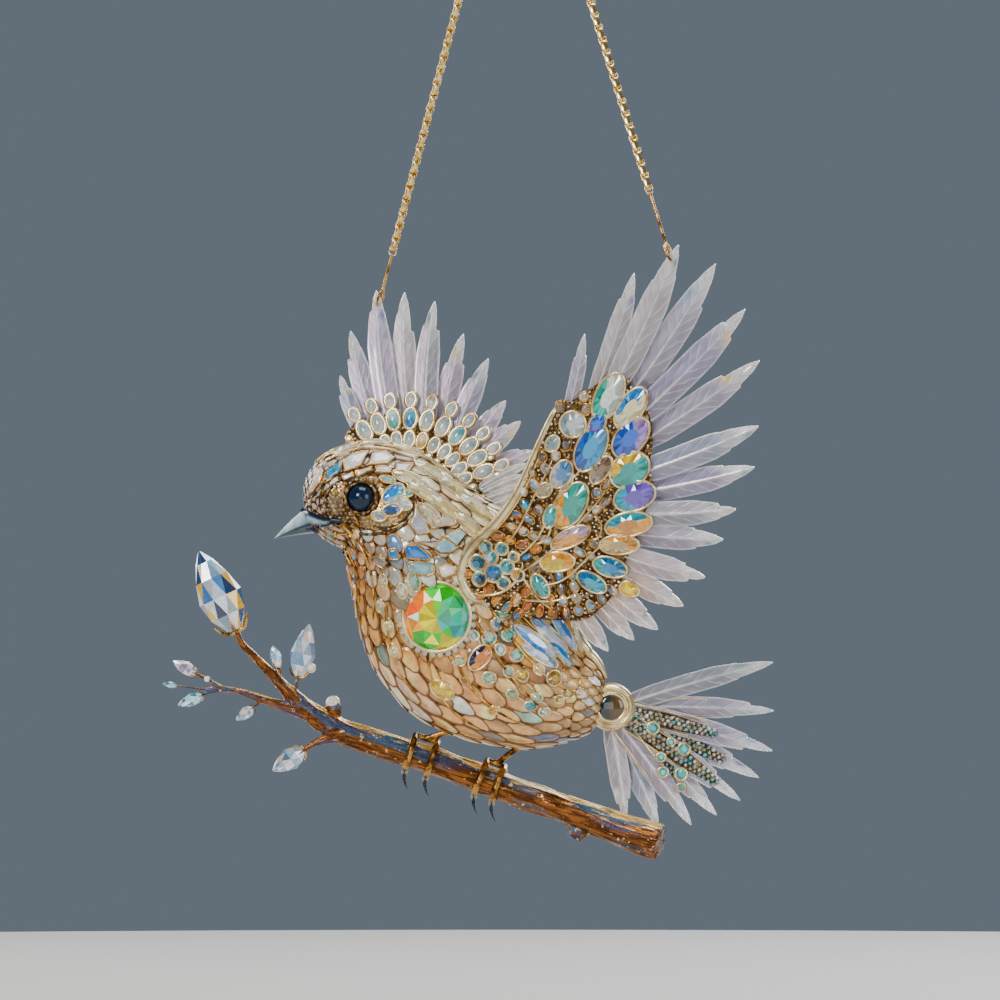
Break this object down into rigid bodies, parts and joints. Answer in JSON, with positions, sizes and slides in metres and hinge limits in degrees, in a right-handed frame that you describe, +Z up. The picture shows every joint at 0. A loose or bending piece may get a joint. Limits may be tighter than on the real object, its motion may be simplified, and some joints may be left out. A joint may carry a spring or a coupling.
{
  "type": "window suncatcher",
  "caption": "Hanging bird suncatcher: a jewelled gilt bird with raised glass wings and fanned tail on a budding branch, hung by chains from one ring.",
  "frame": {"origin": "highest point inside the hanging ring, where a hook bears", "axes": "+Z up along the line the part hangs on, +X from the head towards the tail, front face towards -Y"},
  "size_m": [0.1836, 0.092, 0.3332],
  "materials": {
    "gilt": "polished gilt with darkened recesses",
    "enamel": "glossy enamel and glass tiles between gilt wires",
    "feather_glass": "frosted iridescent glass",
    "crystal": "clear cut crystal",
    "gem_glass": "cut glass with coloured facets",
    "dark_glass": "polished dark glass",
    "beak_enamel": "glossy pale steel blue",
    "branch_bronze": "gilt bronze with blue and violet patina"
  },
  "bodies": {
    "root": {"near_wing_mount": "gilt", "far_wing_mount": "gilt", "tail_mount": "gilt", "foot_front": "gilt", "foot_rear": "gilt", "hanging_ring": "gilt", "near_hook": "gilt", "near_chain": "gilt", "far_hook": "gilt", "far_chain": "gilt", "body": "enamel", "near_wing_feather_01": "feather_glass", "near_wing_feather_02": "feather_glass", "near_wing_feather_03": "feather_glass", "near_wing_feather_04": "feather_glass", "near_wing_feather_05": "feather_glass", "near_wing_feather_06": "feather_glass", "near_wing_feather_07": "feather_glass", "near_wing_feather_08": "feather_glass", "near_wing_feather_09": "feather_glass", "near_wing_feather_10": "feather_glass", "near_wing_feather_11": "feather_glass", "near_wing_feather_12": "feather_glass", "near_wing_feather_13": "feather_glass", "near_wing_feather_14": "feather_glass", "near_wing_feather_15": "feather_glass", "far_wing_feather_01": "feather_glass", "far_wing_feather_02": "feather_glass", "far_wing_feather_03": "feather_glass", "far_wing_feather_04": "feather_glass", "far_wing_feather_05": "feather_glass", "far_wing_feather_06": "feather_glass", "far_wing_feather_07": "feather_glass", "far_wing_feather_08": "feather_glass", "far_wing_feather_09": "feather_glass", "far_wing_feather_10": "feather_glass", "tail_feather_01": "feather_glass", "tail_feather_02": "feather_glass", "tail_feather_03": "feather_glass", "tail_feather_04": "feather_glass", "tail_feather_05": "feather_glass", "tail_feather_06": "feather_glass", "tail_feather_07": "feather_glass", "tail_feather_08": "feather_glass", "tail_feather_09": "feather_glass", "bud_crystal": "crystal", "leaf_crystal_left": "crystal", "leaf_crystal_tip": "crystal", "leaf_crystal_lower_left": "crystal", "leaf_crystal_small": "crystal", "leaf_crystal_under": "crystal", "leaf_crystal_upright": "crystal", "leaf_crystal_fork": "crystal", "breast_gem_near": "gem_glass", "breast_gem_far": "gem_glass", "eye_near": "dark_glass", "eye_far": "dark_glass", "tail_stone": "dark_glass", "beak": "beak_enamel", "branch": "branch_bronze"}
  },
  "joints": []
}
